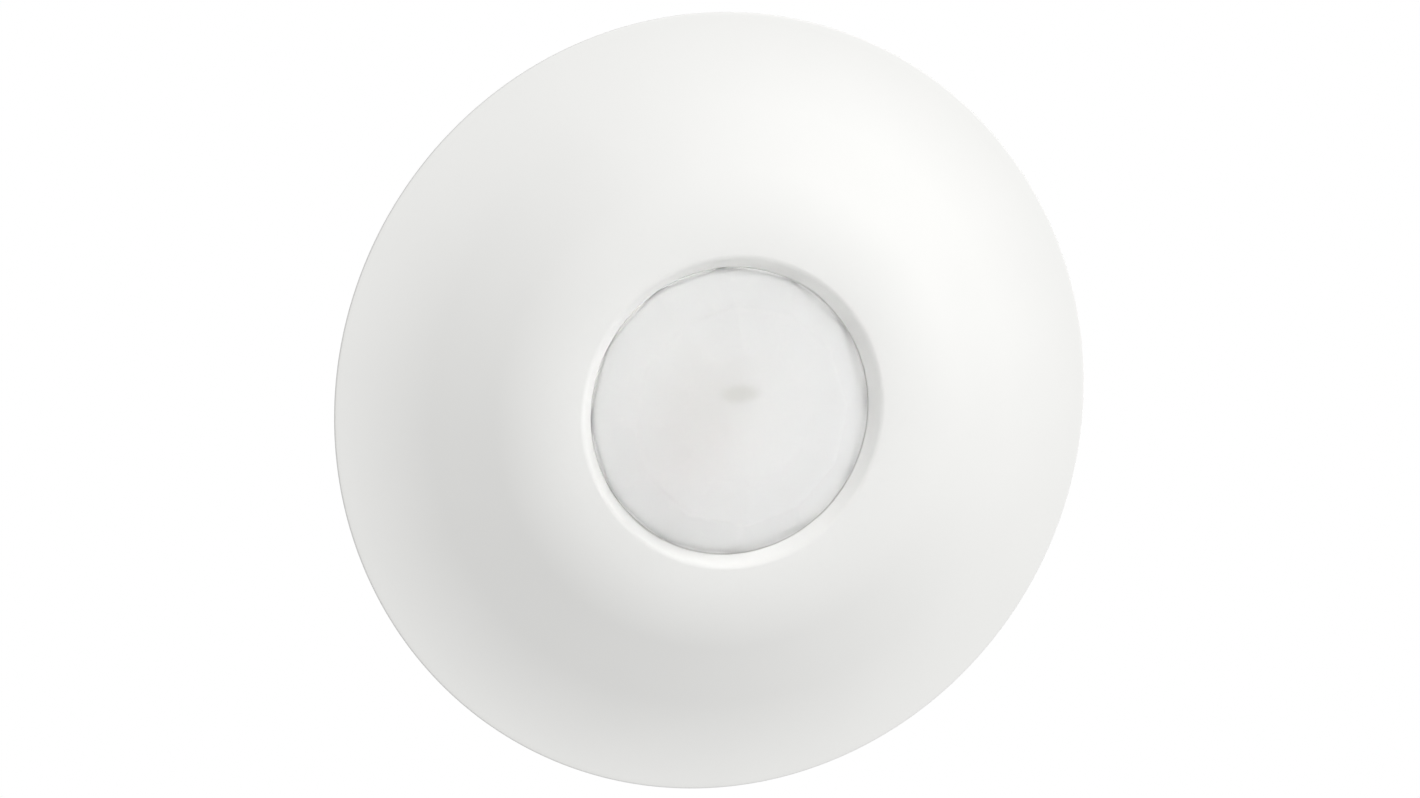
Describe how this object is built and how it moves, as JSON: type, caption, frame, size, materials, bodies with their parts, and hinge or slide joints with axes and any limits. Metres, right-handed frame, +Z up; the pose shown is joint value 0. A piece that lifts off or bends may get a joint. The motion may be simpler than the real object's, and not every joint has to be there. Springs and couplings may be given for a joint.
{
  "type": "ceiling presence detector",
  "caption": "Flush ceiling presence detector: white bell cover round a faceted milky lens, round housing through the ceiling held by sprung claws.",
  "frame": {"origin": "centre of the round body in the plane of the ceiling face", "axes": "+Z up into the ceiling along the body, the lens looks along -Z, the claws lie along X"},
  "size_m": [0.11, 0.11, 0.0519],
  "materials": {
    "cover_white": "fine matt",
    "lens_milky": "milky, lightly frosted",
    "housing_white": "fine moulded grain",
    "ring_grey": "fine moulded grain",
    "cap_white": "fine moulded grain",
    "dark_plastic": "matt",
    "grey_plastic": "matt",
    "button_orange": "satin",
    "board_green": "satin solder mask",
    "board_white": "satin white solder mask",
    "ivory_plastic": "matt",
    "steel": "zinc plated",
    "spring_steel": "drawn wire",
    "can_metal": "bright nickel",
    "filter_dark": "polished dark filter",
    "lamp_red": "clear tinted",
    "brass": "bright",
    "terminal_green": "satin",
    "relay_blue": "satin",
    "ferrite": "matt",
    "winding_amber": "taped",
    "sleeve_navy": "shrink sleeve",
    "film_yellow": "satin",
    "surge_teal": "dipped coating",
    "fuse_brown": "matt",
    "rubber_grey": "soft matt",
    "claw_white": "moulded"
  },
  "bodies": {
    "housing": {"lens": "lens_milky", "lens_retainer": "ring_grey", "retainer_screws": "steel", "housing_shell": "housing_white", "cover_clips": "spring_steel", "dial_bases": "dark_plastic", "switch_body": "dark_plastic", "sensor_board": "board_white", "board_spacers": "ivory_plastic", "board_screws": "steel", "sensor_can": "can_metal", "sensor_window": "filter_dark", "sensor_spacer": "ivory_plastic", "light_sensor": "dark_plastic", "status_lamp": "lamp_red", "control_chips": "dark_plastic", "link_strips": "dark_plastic", "link_pins": "brass", "power_board": "board_green", "terminal_block": "terminal_green", "terminal_cages": "brass", "terminal_screws": "steel", "relay": "relay_blue", "supply_core": "ferrite", "supply_winding": "winding_amber", "smoothing_capacitor": "sleeve_navy", "film_capacitor": "film_yellow", "surge_disc": "surge_teal", "fuse_box": "fuse_brown", "rear_cap": "cap_white", "cap_screws": "steel", "cable_grommet": "rubber_grey", "claw_pins": "steel", "claw_spring_left": "spring_steel", "claw_spring_right": "spring_steel"},
    "cover": {"front_cover": "cover_white"},
    "left_claw": {"claw_left": "claw_white", "claw_pad_left": "rubber_grey"},
    "right_claw": {"claw_right": "claw_white", "claw_pad_right": "rubber_grey"},
    "time_knob": {"time_dial": "grey_plastic"},
    "lux_knob": {"lux_dial": "grey_plastic"},
    "reach_knob": {"reach_dial": "grey_plastic"},
    "test_key": {"test_button": "button_orange", "switch_plunger": "dark_plastic"}
  },
  "joints": [
    {"name": "cover_pull", "type": "slide", "parent": "housing", "child": "cover", "axis": [0, 0, -1], "range_m": [0, 0.03], "deforming": ["cover_clips"]},
    {"name": "claw_left_fold", "type": "hinge", "parent": "housing", "child": "left_claw", "pos_m": [-0.0274, 0, 0.018], "axis": [0, 1, 0], "range_deg": [0, 105], "stiffness_Nm_per_rad": 0.08, "springref_deg": -85.94, "deforming": ["claw_spring_left"]},
    {"name": "claw_right_fold", "type": "hinge", "parent": "housing", "child": "right_claw", "pos_m": [0.0274, 0, 0.018], "axis": [0, -1, 0], "range_deg": [0, 105], "stiffness_Nm_per_rad": 0.08, "springref_deg": -85.94, "deforming": ["claw_spring_right"]},
    {"name": "time_turn", "type": "hinge", "parent": "housing", "child": "time_knob", "pos_m": [0.01282, 0.02221, -0.0051], "axis": [0, 0, 1], "range_deg": [-135, 135]},
    {"name": "lux_turn", "type": "hinge", "parent": "housing", "child": "lux_knob", "pos_m": [0, 0.02565, -0.0051], "axis": [0, 0, 1], "range_deg": [-135, 135]},
    {"name": "reach_turn", "type": "hinge", "parent": "housing", "child": "reach_knob", "pos_m": [-0.01282, 0.02221, -0.0051], "axis": [0, 0, 1], "range_deg": [-135, 135]},
    {"name": "test_press", "type": "slide", "parent": "housing", "child": "test_key", "axis": [0, 0, 1], "range_m": [0, 0.0003], "stiffness_N_per_m": 1500, "springref_m": -0.0006}
  ]
}
